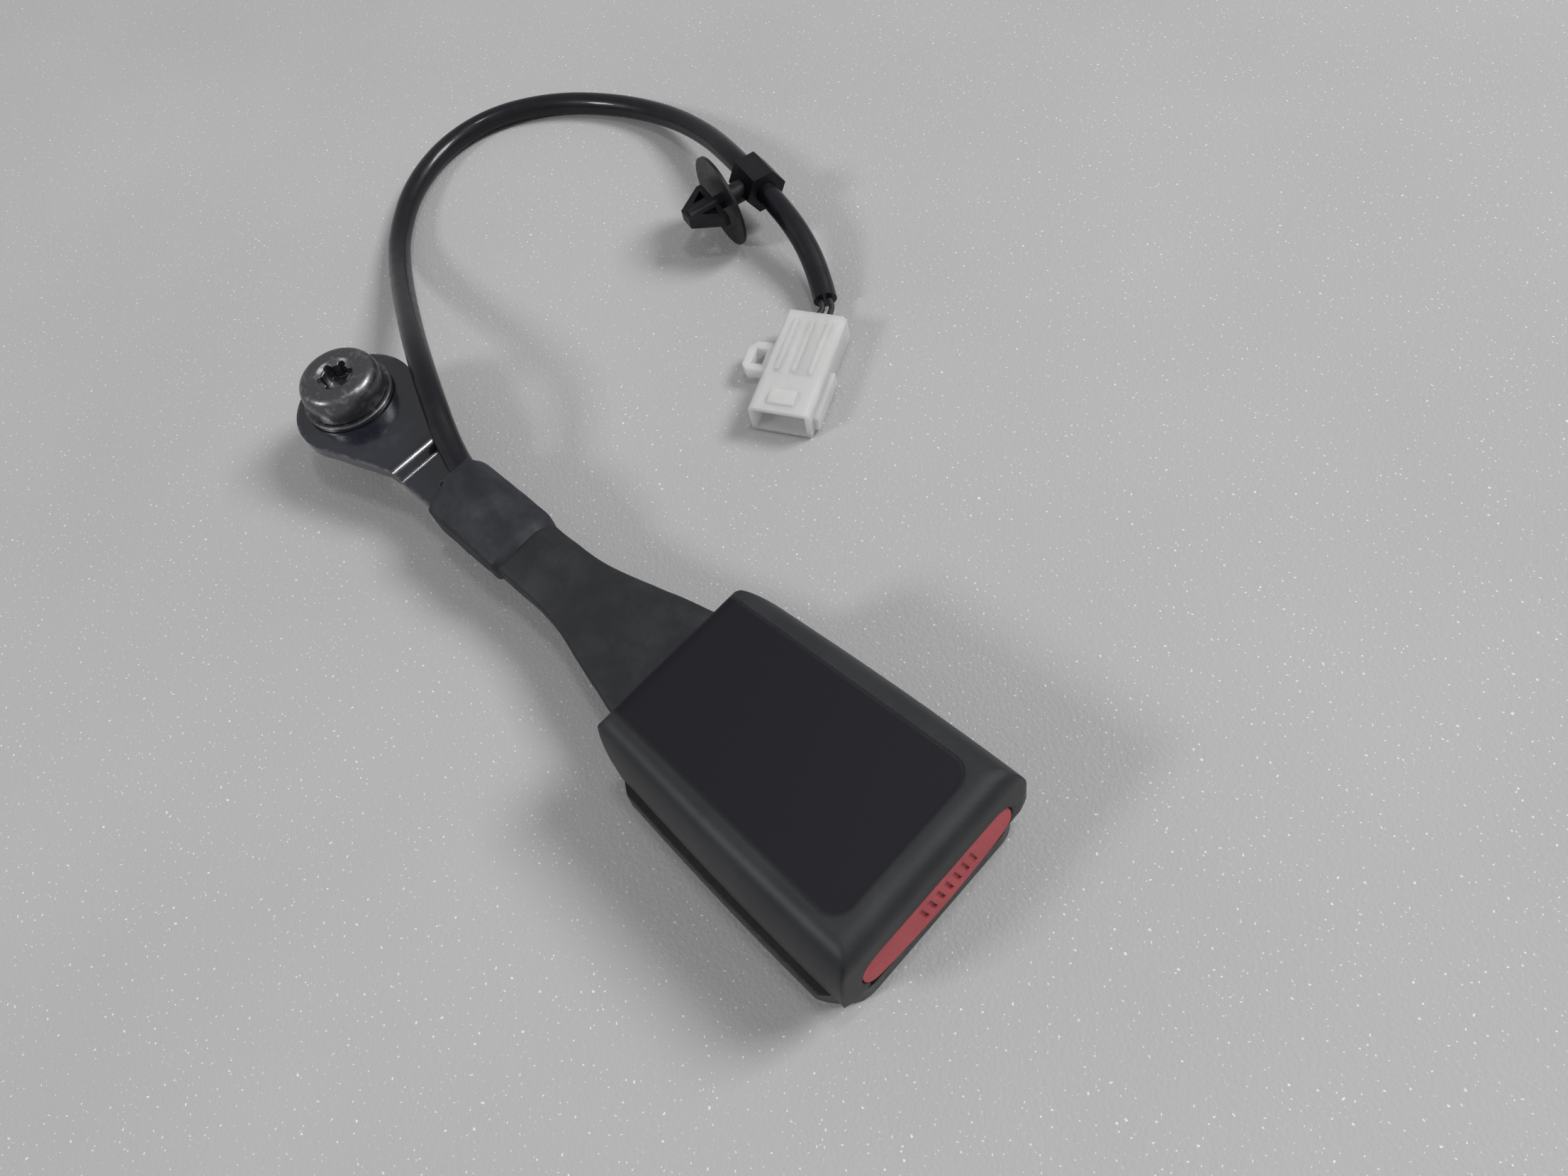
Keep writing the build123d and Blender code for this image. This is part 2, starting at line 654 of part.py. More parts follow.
def press_button():
    """Moulded button: crowned face with ribs, hollow behind, with two guide arms."""
    rear_face = button_face_x - button_depth
    body = across(rear_face) * button_outline(0)
    body = extrude(body, amount=button_depth + 3)
    middle_z = (button_top_z + button_low_z) / 2
    crown = Pos(-button_crown_radius, 0, 0) * Cylinder(button_crown_radius, 60)
    body &= Pos(button_face_x, 0, middle_z) * Rot(0, -button_lean_deg, 0) * crown
    hollow = across(rear_face - 1) * button_outline(-button_wall)
    hollow = extrude(hollow, amount=button_depth - button_wall - 1.0)
    for y in (-7, 7):
        hollow -= box_between((rear_face - 2, y - 0.6, -20), (button_face_x, y + 0.6, 20))
    body -= hollow
    height = button_top_z - button_low_z
    for i in range(rib_count):
        y = rib_centre_y + (i - (rib_count - 1) / 2) * rib_pitch
        groove = Box(2 * rib_depth + 0.8, 0.9, height * 0.5)
        body -= (Pos(button_face_x + 0.3, y, middle_z) * Rot(0, -button_lean_deg, 0)
                 * Rot(14, 0, 0) * groove)
    for side in (-1, 1):
        arm = Plane.XZ * Polyline(
            (rear_face + 1.2, button_lug_low_z), (rear_face + 1.2, button_top_z - 1.6),
            (rear_face - 6.0, button_top_z - 0.6), (lock_pin_x + 6.5, lock_pin_z + 3.0),
            (lock_pin_x - 6.0, lock_pin_z + 3.0), (lock_pin_x - 8.0, lock_pin_z + 1.0),
            (lock_pin_x - 8.0, lock_pin_z - 2.8), (button_lug_x - 2.5, lock_pin_z - 2.8),
            (button_lug_x, button_lug_low_z), close=True)
        arm = extrude(make_face(arm), amount=-side * button_arm_t)
        arm = Pos(0, side * button_arm_y, 0) * arm
        hole = Pos(lock_pin_x, side * button_arm_y, lock_pin_z) * Rot(90, 0, 0)
        arm -= hole * Cylinder(lock_pin_radius + seat_gap, 10)
        ends = sorted((side * (button_arm_y + button_arm_t - 0.2),
                       side * (button_spring_y + button_spring_radius)))
        arm += box_between((button_lug_x, ends[0], button_lug_low_z),
                           (button_lug_x + button_lug_t, ends[1],
                            button_spring_z + button_spring_radius + 0.4))
        body += arm
    return body


# ---------------------------------------------------------------- steel mechanism
def buckle_frame():
    """Pressed steel channel: base, two side walls, pivot holes and lock pin slots."""
    half = frame_half_width
    base = plan_plate(mirrored([
        (frame_start_x, half - 4.0), (frame_start_x + 3.0, half - 1.0),
        (frame_wall_start_x, half), (frame_end_x - 2.5, half), (frame_end_x, half - 2.5),
    ]), frame_low_z, frame_top_z)
    sides = side_plate([
        (frame_wall_start_x, frame_low_z), (frame_wall_end_x, frame_low_z),
        (frame_wall_end_x, lock_pin_z - 4.0), (frame_wall_end_x - 4.0, frame_wall_top_z),
        (frame_wall_start_x + 12.0, frame_wall_top_z), (frame_wall_start_x, latch_pivot_z + 3.6),
    ], half)
    sides -= box_between((100, -frame_channel_y, frame_low_z - 1), (200, frame_channel_y, 50))
    frame = base + sides
    frame = fillet([e for e in frame.edges().filter_by(Axis.X)
                    if abs(abs(e.center().Y) - half) < 0.01
                    and abs(e.center().Z - frame_low_z) < 0.01
                    and e.length > 20], frame_t * 0.8)
    across_hole = Rot(90, 0, 0) * Cylinder(latch_pin_radius + seat_gap, 60)
    frame -= Pos(latch_pivot_x, 0, latch_pivot_z) * across_hole
    slot = Plane.XZ * Pos(lock_pin_x - button_travel / 2, lock_pin_z) * SlotCenterToCenter(
        button_travel, 2 * (lock_pin_radius + slide_gap))
    frame -= extrude(slot, amount=30, both=True)
    window = Rot(90, 0, 0) * Cylinder(plunger_radius + running_gap, 20)
    frame -= Pos(plunger_x, frame_half_width, 0) * window
    tooth_window = ((tooth_x - 2.8, -tooth_half_width - 1.0, frame_low_z - 1),
                    (tooth_x + tooth_length + 1.2, tooth_half_width + 1.0, frame_top_z + 1))
    frame -= box_between(*tooth_window)
    frame -= Pos(rivet_x, 0, frame_low_z) * Cylinder(rivet_radius, 20)
    return frame


def latch_plate():
    """Steel lever: a knuckle on the pin, a flat arm and a tooth that drops into the tongue."""
    low = latch_pivot_z - latch_t / 2
    high = latch_pivot_z + latch_t / 2
    profile = side_plate([
        (latch_pivot_x, low), (tooth_x, low), (tooth_x + 0.3, low - tooth_height + 0.4),
        (tooth_x + 0.8, low - tooth_height), (tooth_x + tooth_length - 1.6, low - tooth_height),
        (tooth_x + tooth_length, low - tooth_height + 1.6), (tooth_x + tooth_length, low),
        (latch_end_x, low), (latch_end_x, high), (latch_pivot_x, high),
    ], latch_half_width)
    wide = 2 * (latch_half_width - tooth_half_width)
    for side in (-1, 1):
        y = side * latch_half_width
        cut = Pos((tooth_x + latch_end_x) / 2, y, low) * Box(60, wide, 2 * tooth_height)
        profile -= cut & box_between((latch_pivot_x + 5, -50, -50), (latch_end_x + 5, 50, low))
    axis = Pos(latch_pivot_x, 0, latch_pivot_z) * Rot(90, 0, 0)
    latch = profile + axis * Cylinder(latch_knuckle_radius, 2 * latch_half_width)
    latch -= axis * Cylinder(latch_pin_radius + seat_gap, 60)
    for side in (-1, 1):
        corner = Pos(latch_end_x, side * latch_half_width, latch_pivot_z)
        latch -= corner * Rot(0, 0, 45) * Box(3, 3, 20)
    latch -= box_between((latch_pivot_x + 7, -3.5, low - 1), (latch_pivot_x + 16, 3.5, high + 1))
    return latch


def latch_pin():
    """Pivot pin through both walls of the frame, with a flat head at each end."""
    length = 2 * (frame_half_width + seat_gap)
    pin = Cylinder(latch_pin_radius, length)
    for side in (-1, 1):
        head = Cylinder(latch_pin_head_radius, latch_pin_head_t)
        pin += Pos(0, 0, side * (length + latch_pin_head_t) / 2) * head
    return Pos(latch_pivot_x, 0, latch_pivot_z) * Rot(90, 0, 0) * pin


def lock_pin():
    """Round bar in the slots of the frame, carried by the button's arms."""
    half = button_arm_y + button_arm_t + lock_pin_head
    pin = Cylinder(lock_pin_radius, 2 * half)
    pin = chamfer(pin.edges().filter_by(GeomType.CIRCLE), 0.3)
    return Pos(lock_pin_x, 0, lock_pin_z) * Rot(90, 0, 0) * pin


def ejector():
    """Moulded slider in the frame's channel, with a pocket for its spring."""
    rear = ejector_face_x - ejector_length
    half = ejector_half_width
    outline = mirrored([(rear, half - 1.0), (rear + 2.5, half), (ejector_face_x, half)])
    slider = plan_plate(outline, ejector_low_z, ejector_top_z)
    front = slider.edges().filter_by(Axis.Y).group_by(Axis.X)[-1].sort_by(Axis.Z)[-1]
    slider = chamfer(front, 1.6)
    pocket = Cylinder(ejector_spring_radius + spring_wire + running_gap, 2 * (ejector_length - 2.5))
    slider -= Pos(rear, 0, spring_axis_z) * Rot(0, 90, 0) * pocket
    for side in (-1, 1):
        low = (rear + 1.6, side * 7.2 - 2.4, ejector_low_z + 1.6)
        slider -= box_between(low, (ejector_face_x - 1.6, side * 7.2 + 2.4, ejector_top_z + 1))
    return slider


# ---------------------------------------------------------------- springs
def ejector_spring():
    """Compression spring from the strap's end into the ejector's pocket."""
    start = strap_end_x + seat_gap
    end = ejector_face_x - 2.5 - seat_gap
    spring = coil(ejector_spring_radius, end - start, ejector_spring_turns, spring_wire)
    return Pos(start, 0, spring_axis_z) * Rot(0, 90, 0) * spring


def button_springs():
    """Two compression springs, one beside each wall of the frame."""
    length = button_lug_x - button_spring_seat_x - 2 * seat_gap
    spring = coil(button_spring_radius, length, button_spring_turns, spring_wire)
    spring = Pos(button_spring_seat_x + seat_gap, 0, button_spring_z) * Rot(0, 90, 0) * spring
    return Compound([Pos(0, side * button_spring_y, 0) * spring for side in (-1, 1)])


def latch_spring():
    """Torsion spring around the latch's pin, between its knuckle and the wall."""
    length = frame_channel_y - latch_half_width - 2 * running_gap
    spring = coil(latch_pin_radius + spring_wire + 0.1, length, latch_spring_turns, spring_wire)
    return Pos(latch_pivot_x, -latch_half_width - running_gap, latch_pivot_z) * Rot(90, 0, 0) * spring


# ---------------------------------------------------------------- switch and wiring
def buckle_switch():
    """Small switch box on the frame's wall, with two tags at its rear."""
    low_y = frame_half_width + seat_gap
    body = box_between((switch_x, low_y, switch_low_z),
                       (switch_x + switch_length, low_y + switch_width,
                        switch_low_z + switch_height))
    body = chamfer(body.edges().filter_by(Axis.X), 0.5)
    hole = Rot(90, 0, 0) * Cylinder(plunger_radius + slide_gap, 6)
    body -= Pos(plunger_x, low_y, 0) * hole
    for x in (switch_x + 6.0, switch_x + switch_length - 2.0):
        peg = Rot(90, 0, 0) * Cylinder(0.9, 1.2)
        body += Pos(x, low_y + switch_width, switch_low_z + switch_height / 2) * peg
    return body


def switch_plunger():
    """Round plunger that the ejector's flank presses."""
    reach = frame_channel_y - plunger_reach
    end = frame_half_width + seat_gap + 1.8
    length = end - reach
    plunger = Cylinder(plunger_radius, length)
    plunger = fillet(plunger.edges().filter_by(GeomType.CIRCLE).sort_by(Axis.Z)[-1:], 0.6)
    return Pos(plunger_x, (end + reach) / 2, 0) * Rot(90, 0, 0) * plunger


def inner_leads():
    """Two insulated wires from the conduit to the switch, over the strap."""
    entry_y = frame_half_width + seat_gap + switch_width / 2
    leads = []
    for shift in (-0.95, 0.95):
        leads.append(tube([
            (conduit_start[0] + 2 * seat_gap, conduit_start[1] + shift, conduit_start[2]),
            (conduit_start[0] + 1.4, conduit_start[1] + shift, conduit_start[2]),
            (54.6, 2.3 + shift, 2.6),
            (58.5, 2.0 + shift, strap_top_z + lead_radius + 0.2),
            (84.0, 1.4 + shift, strap_top_z + lead_radius + 0.2),
            (95.0, 2.6 + shift, strap_end_top_z + 1.6),
            (108.0, 6.6 + shift, strap_end_top_z + 1.6),
            (121.0, 11.6 + shift, strap_end_top_z + 2.0),
            (131.0, entry_y - 0.4 + shift, 0.2),
            (137.0, entry_y + shift, 0.8),
            (switch_x - seat_gap, entry_y + shift, 0.8),
        ], lead_radius)[0])
    return Compound(leads)


def wire_conduit():
    """Convoluted plastic tube from the band to the harness clip, in one piece."""
    solid, path, radii = tube(conduit_route, conduit_radius)
    print("conduit length", round(path.length, 1))
    print("conduit bends", [round(r, 1) for r in radii])
    return solid


def end_leads():
    """Two insulated wires from the conduit's cut end into the connector."""
    leads = []
    last = Vector(*conduit_route[-1])
    before = Vector(*conduit_route[-2])
    out = (last - before).normalized()
    sideways = Vector(-out.Y, out.X, 0).normalized()
    rear = Vector(plug_rear[0], plug_rear[1], floor_z + plug_height / 2)
    heading = (Vector(*plug_front, 0) - Vector(*plug_rear, 0)).normalized()
    across_plug = Vector(-heading.Y, heading.X, 0)
    for shift in (-1, 1):
        leads.append(tube([
            tuple(last + sideways * shift * 1.1 + out * seat_gap),
            tuple(last + sideways * shift * 1.2 + out * 2.6),
            tuple(rear + across_plug * shift * 1.6 - heading * 2.2),
            tuple(rear + across_plug * shift * 1.8 - heading * seat_gap),
        ], lead_radius)[0])
    return Compound(leads)


# ---------------------------------------------------------------- harness clip
def harness_clip():
    """Christmas-tree clip: a collar on the conduit, a dished stop disc and a barbed stem."""
    collar = Rot(0, 90, 0) * extrude(
        RegularPolygon(clip_collar_radius, 6), amount=clip_collar_length / 2, both=True)
    neck_low = clip_collar_radius - 1.5
    neck = Pos(0, 0, neck_low) * Cylinder(
        clip_stem_radius + 0.8, clip_disc_at - neck_low + 0.5,
        align=(Align.CENTER, Align.CENTER, Align.MIN))
    rim_at = clip_disc_at + 1.2
    dish = make_face(Plane.XZ * Polyline(
        (0, clip_disc_at), (clip_stem_radius + 1.5, clip_disc_at), (clip_disc_radius, rim_at),
        (clip_disc_radius, rim_at + 0.8), (clip_stem_radius + 1.5, clip_disc_at + clip_disc_t),
        (0, clip_disc_at + clip_disc_t), close=True))
    dish = revolve(dish, Axis.Z)
    stem_low = clip_disc_at + 0.5
    stem = Pos(0, 0, stem_low) * Cylinder(
        clip_stem_radius, clip_tip_at - 1.0 - stem_low,
        align=(Align.CENTER, Align.CENTER, Align.MIN))
    wing_low = clip_disc_at + 3.2
    half = clip_wing_half_width
    wings = make_face(Plane.XZ * Polyline(
        (half, wing_low), (half, wing_low + 1.4), (2.2, clip_tip_at), (-2.2, clip_tip_at),
        (-half, wing_low + 1.4), (-half, wing_low), close=True))
    for side in (-1, 1):
        wings -= make_face(Plane.XZ * Polyline(
            (side * 2.4, wing_low + 1.2), (side * (half - 1.9), wing_low + 1.5),
            (side * 2.4, clip_tip_at - 3.6), close=True))
    wings = extrude(wings, amount=clip_wing_t / 2, both=True)
    clip = collar + neck + dish + stem + wings
    run = Vector(*clip_run)
    out = Vector(clip_run[1], -clip_run[0], 0)
    clip = Plane(origin=clip_seat, x_dir=run, z_dir=out) * clip
    return clip - tube(conduit_route, conduit_radius + seat_gap)[0]


# ---------------------------------------------------------------- connector
def plug_frame():
    """Plane at the plug's rear: X to its right, Y up, Z along it to its mouth."""
    heading = Vector(*plug_front, 0) - Vector(*plug_rear, 0)
    rear = Vector(*plug_rear, floor_z + plug_height / 2)
    return Plane(origin=rear, x_dir=Vector(-heading.Y, heading.X, 0), z_dir=heading)


def terminal_slots(gap):
    """The two flat terminals, or with a gap the slots that hold them."""
    length = plug_terminal_tip - 4.0
    for side in (-1, 1):
        bar = Box(plug_terminal_width + 2 * gap, plug_terminal_t + 2 * gap, length + 2 * gap)
        yield Pos(side * plug_terminal_pitch / 2, 0, 4.0 + length / 2) * bar


def connector_housing():
    """Two-way housing: open mouth, lengthwise ribs, a side step and a mounting tab."""
    half = plug_width / 2
    tall = plug_height / 2
    body = Pos(0, 0, plug_length / 2) * Box(plug_width, plug_height, plug_length)
    body = chamfer(body.edges().filter_by(Axis.Z), 0.9)
    ribs_end = plug_length - plug_mouth_depth
    for x in (-4.2, 0, 4.2):
        body += Pos(x, tall + 0.1, ribs_end / 2 + 1.5) * Box(1.0, 1.0, ribs_end - 3.0)
    body += Pos(0, tall + 0.2, plug_length - 4.0) * Box(6.4, 1.2, 4.0)
    body += Pos(half + 0.5, -1.0, plug_length - 9.0) * Box(1.6, 4.2, 14.0)
    tab = Pos(-half - 3.4, -0.6, 13.0) * Box(7.4, 3.2, 9.0)
    tab = chamfer(tab.edges().filter_by(Axis.Y).group_by(Axis.X)[0], 1.4)
    tab -= Pos(-half - 3.6, -0.6, 13.0) * Box(3.0, 10, 5.0)
    body += tab
    mouth = Box(plug_width - 2 * plug_wall, plug_height - 2 * plug_wall, 2 * plug_mouth_depth)
    body -= Pos(0, 0, plug_length) * mouth
    for slot in terminal_slots(seat_gap):
        body -= slot
    return plug_frame() * body


def connector_terminals():
    """Two flat terminals, set back in the mouth."""
    return Compound([plug_frame() * bar for bar in terminal_slots(0)])


# ---------------------------------------------------------------- all nodes
nodes = {
    "anchor_bracket": anchor_bracket,
    "anchor_bolt": anchor_bolt,
    "bolt_washer": bolt_washer,
    "bolt_retainer": bolt_retainer,
    "strap_rivet": strap_rivet,
    "sleeve_boot": sleeve_boot,
    "shrink_band": shrink_band,
    "upper_cover": upper_cover,
    "lower_cover": lower_cover,
    "press_button": press_button,
    "buckle_frame": buckle_frame,
    "latch_plate": latch_plate,
    "latch_pin": latch_pin,
    "lock_pin": lock_pin,
    "ejector": ejector,
    "ejector_spring": ejector_spring,
    "button_springs": button_springs,
    "latch_spring": latch_spring,
    "buckle_switch": buckle_switch,
    "switch_plunger": switch_plunger,
    "inner_leads": inner_leads,
    "wire_conduit": wire_conduit,
    "end_leads": end_leads,
    "harness_clip": harness_clip,
    "connector_housing": connector_housing,
    "connector_terminals": connector_terminals,
}

os.makedirs("parts", exist_ok=True)
for name, make in nodes.items():
    export_step(make(), f"parts/{name}.step")
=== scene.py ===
import bpy
import bmesh
import math
from mathutils import Vector, Matrix


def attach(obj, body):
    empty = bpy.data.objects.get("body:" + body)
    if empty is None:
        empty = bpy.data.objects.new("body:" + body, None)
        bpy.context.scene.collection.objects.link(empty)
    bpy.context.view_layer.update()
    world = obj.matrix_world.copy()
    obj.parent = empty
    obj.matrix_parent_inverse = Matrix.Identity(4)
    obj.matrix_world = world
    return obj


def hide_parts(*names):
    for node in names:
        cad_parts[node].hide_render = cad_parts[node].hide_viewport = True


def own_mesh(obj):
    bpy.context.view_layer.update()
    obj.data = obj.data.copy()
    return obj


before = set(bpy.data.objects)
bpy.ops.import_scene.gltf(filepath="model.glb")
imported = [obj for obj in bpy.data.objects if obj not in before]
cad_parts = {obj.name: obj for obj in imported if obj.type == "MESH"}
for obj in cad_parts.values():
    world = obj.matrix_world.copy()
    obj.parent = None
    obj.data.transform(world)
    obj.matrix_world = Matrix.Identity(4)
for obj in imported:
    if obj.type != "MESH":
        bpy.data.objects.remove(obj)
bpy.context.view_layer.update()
scene = bpy.context.scene

# ------------------------------------------------------------------ camera
# Stands over the front right corner of the buckle and looks down along the
# stalk, so that the stalk runs up to the left and the lead loops at the top.
camera_place = (0.2299, -0.0411, 0.2110)
camera_right = Vector((0.715, 0.682, -0.151)).normalized()
camera_forward = Vector((-0.447, 0.280, -0.850)).normalized()
camera_up = camera_right.cross(camera_forward).normalized()
camera_data = bpy.data.cameras.new("camera")
camera_data.lens = 27.6
camera_data.sensor_width = 36.0
camera_data.clip_start = 0.01
camera = bpy.data.objects.new("camera", camera_data)
scene.collection.objects.link(camera)
turn = Matrix((camera_right, camera_up, -camera_forward)).transposed()
camera.matrix_world = Matrix.Translation(camera_place) @ turn.to_4x4()
scene.camera = camera

# ------------------------------------------------------------------ lights
# A large soft key, a smaller fill and a small faint lamp overhead, all aimed
# at the stalk. A pale world fills the shadows.
scene.view_settings.view_transform = "Standard"
world = bpy.data.worlds.new("studio")
world.use_nodes = True
sky = world.node_tree.nodes["Background"]
sky.inputs["Color"].default_value = (0.97, 0.97, 1.0, 1)
sky.inputs["Strength"].default_value = 0.37
scene.world = world
lamp_aim = Vector((0.06, 0.03, 0))
for name, place, size, power in (
    ("key_light", (1.20, 1.80, 2.10), 0.97, 74.0),
    ("fill_light", (-0.55, -1.75, 1.45), 0.45, 21.0),
    ("top_light", (0.25, 0.20, 1.30), 0.14, 2.4),
):
    lamp_data = bpy.data.lights.new(name, "AREA")
    lamp_data.shape = "SQUARE"
    lamp_data.size = size
    lamp_data.energy = power
    lamp = bpy.data.objects.new(name, lamp_data)
    lamp.location = place
    lamp.rotation_euler = (lamp_aim - Vector(place)).to_track_quat("-Z", "Y").to_euler()
    scene.collection.objects.link(lamp)

# ------------------------------------------------------------------ floor
# A sheet of pale grey packing foam under everything: fine closed cells whose
# sparkle is painted into the colour as tiny bright glints, over soft clouds
# of a second grey.
floor_z = -0.0135
floor_side = 8.0
cell_scale = 1300.0


def set_values(node, values):
    """Sets a node's sockets, by name or by number."""
    for socket, value in values.items():
        node.inputs[socket].default_value = value


def new_finish(name, colour, roughness, more=None):
    """A material with one Principled shader, and a node that gives the place on the piece."""
    finish = bpy.data.materials.new(name)
    finish.use_nodes = True
    nodes = finish.node_tree.nodes
    set_values(nodes["Principled BSDF"], {"Base Color": (*colour, 1), "Roughness": roughness})
    set_values(nodes["Principled BSDF"], more or {})
    nodes.new("ShaderNodeTexCoord").name = "place"
    return finish


def inside(finish):
    """A material's nodes, links and shader, and the place on the piece."""
    nodes = finish.node_tree.nodes
    place = nodes["place"].outputs["Object"]
    return nodes, finish.node_tree.links, nodes["Principled BSDF"], place


def add_node(nodes, kind, values=None, **settings):
    """A node of one kind, with its settings and the values of its sockets."""
    node = nodes.new("ShaderNode" + kind)
    for setting, value in settings.items():
        setattr(node, setting, value)
    set_values(node, values or {})
    return node


def join_up(links, *pairs):
    """Links each pair of sockets, from the first to the second."""
    for source, target in pairs:
        links.new(source, target)


bpy.ops.object.select_all(action="DESELECT")
bpy.ops.mesh.primitive_plane_add(size=floor_side, location=(0.1, 0, floor_z))
floor = bpy.context.object
floor.name = "foam_floor"
foam = new_finish("grey_foam", (0.35, 0.35, 0.35), 0.75, {"Specular IOR Level": 0.35})
nodes, links, shader, place = inside(foam)
clouds = add_node(nodes, "TexNoise", {"Scale": 9.0, "Detail": 3.0})
cells = add_node(nodes, "TexVoronoi", {"Scale": cell_scale})
sparkle = add_node(nodes, "TexNoise", {"Scale": cell_scale, "Detail": 1.0})
glints = add_node(nodes, "ValToRGB")
glints.color_ramp.elements[0].position = 0.69
glints.color_ramp.elements[1].position = 0.74
tint = add_node(nodes, "Mix", {"A": (0.314, 0.312, 0.314, 1), "B": (0.380, 0.377, 0.379, 1)},
                data_type="RGBA")
# Painted glints: tiny near-white specks laid into the colour where the sparkle noise peaks.
painted_glints = add_node(nodes, "Mix", {"B": (0.85, 0.86, 0.88, 1)}, data_type="RGBA")
soften = add_node(nodes, "Math", {1: 0.5}, operation="MULTIPLY")
dents = add_node(nodes, "Bump", {"Strength": 0.25, "Distance": 0.0003})
for texture in (clouds, cells, sparkle):
    links.new(place, texture.inputs["Vector"])
join_up(links,
        (clouds.outputs["Fac"], tint.inputs["Factor"]),
        (tint.outputs["Result"], painted_glints.inputs["A"]),
        (sparkle.outputs["Fac"], glints.inputs["Fac"]),
        (glints.outputs["Color"], soften.inputs[0]),
        (soften.outputs["Value"], painted_glints.inputs["Factor"]),
        (painted_glints.outputs["Result"], shader.inputs["Base Color"]),
        (cells.outputs["Distance"], dents.inputs["Height"]),
        (dents.outputs["Normal"], shader.inputs["Normal"]))
floor.data.materials.append(foam)

# ------------------------------------------------------------------ anchor bracket
# One strip of 3 mm pressed steel with a round eye, a joggle and a strap that
# runs into the buckle. Dip coated in smooth gloss black, with a faint orange
# peel. Its thin lighter edges are mostly painted highlight, with a little rubbing.


def finish_node(name, finish):
    """Gives a carried-over solid its finish."""
    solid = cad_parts[name]
    solid.data.materials.clear()
    solid.data.materials.append(finish)


def new_group(name, inputs, outputs):
    """A shader node group with named sockets, and the nodes at its two ends."""
    group = bpy.data.node_groups.new(name, "ShaderNodeTree")
    for way, sockets in (("INPUT", inputs), ("OUTPUT", outputs)):
        for socket, kind in sockets.items():
            group.interface.new_socket(socket, in_out=way, socket_type="NodeSocket" + kind)
    return group, group.nodes.new("NodeGroupInput"), group.nodes.new("NodeGroupOutput")


def fine_grain_group():
    """Noise at one size, put out as a roughness between two values and as a height."""
    group, entry, leave = new_group(
        "fine_grain",
        {"Vector": "Vector", "Scale": "Float", "Smooth": "Float", "Rough": "Float"},
        {"Roughness": "Float", "Height": "Float"})
    grain = add_node(group.nodes, "TexNoise", {"Detail": 4.0, "Roughness": 0.6})
    spread = add_node(group.nodes, "MapRange", {"From Min": 0.3, "From Max": 0.7})
    join_up(group.links,
            (entry.outputs["Vector"], grain.inputs["Vector"]),
            (entry.outputs["Scale"], grain.inputs["Scale"]),
            (grain.outputs["Fac"], spread.inputs["Value"]),
            (entry.outputs["Smooth"], spread.inputs["To Min"]),
            (entry.outputs["Rough"], spread.inputs["To Max"]),
            (spread.outputs["Result"], leave.inputs["Roughness"]),
            (grain.outputs["Fac"], leave.inputs["Height"]))
    return group


fine_grain = fine_grain_group()


def add_grain(finish, scale, depth, strength=0.5, roughness=None):
    """Joins the grain to a finish's normal as a bump and, between two ends, to its roughness."""
    nodes, links, shader, place = inside(finish)
    grain = add_node(nodes, "Group", {"Scale": scale}, node_tree=fine_grain)
    bump = add_node(nodes, "Bump", {"Strength": strength, "Distance": depth})
    join_up(links,
            (place, grain.inputs["Vector"]),
            (grain.outputs["Height"], bump.inputs["Height"]),
            (bump.outputs["Normal"], shader.inputs["Normal"]))
    if roughness:
        set_values(grain, {"Smooth": roughness[0], "Rough": roughness[1]})
        links.new(grain.outputs["Roughness"], shader.inputs["Roughness"])


def mottle_group():
    """Mixes a second colour over the first in soft patches, for dust and handling."""
    group, entry, leave = new_group(
        "mottle",
        {"Vector": "Vector", "Colour": "Color", "Patches": "Color", "Scale": "Float",
         "Low": "Float", "High": "Float"},
        {"Colour": "Color"})
    patches = add_node(group.nodes, "TexNoise", {"Detail": 6.0, "Roughness": 0.62})
    spread = add_node(group.nodes, "MapRange")
    blend = add_node(group.nodes, "Mix", data_type="RGBA")
    join_up(group.links,
            (entry.outputs["Vector"], patches.inputs["Vector"]),
            (entry.outputs["Scale"], patches.inputs["Scale"]),
            (patches.outputs["Fac"], spread.inputs["Value"]),
            (entry.outputs["Low"], spread.inputs["From Min"]),
            (entry.outputs["High"], spread.inputs["From Max"]),
            (spread.outputs["Result"], blend.inputs["Factor"]),
            (entry.outputs["Colour"], blend.inputs["A"]),
            (entry.outputs["Patches"], blend.inputs["B"]),
            (blend.outputs["Result"], leave.inputs["Colour"]))
    return group


mottle = mottle_group()


def add_mottle(finish, colour, patches, scale, low, high):
    """Joins the mottle to a finish's base colour."""
    nodes, links, shader, place = inside(finish)
    spots = add_node(nodes, "Group", {"Colour": (*colour, 1), "Patches": (*patches, 1),
                                      "Scale": scale, "Low": low, "High": high},
                     node_tree=mottle)
    join_up(links,
            (place, spots.inputs["Vector"]),
            (spots.outputs["Colour"], shader.inputs["Base Color"]))


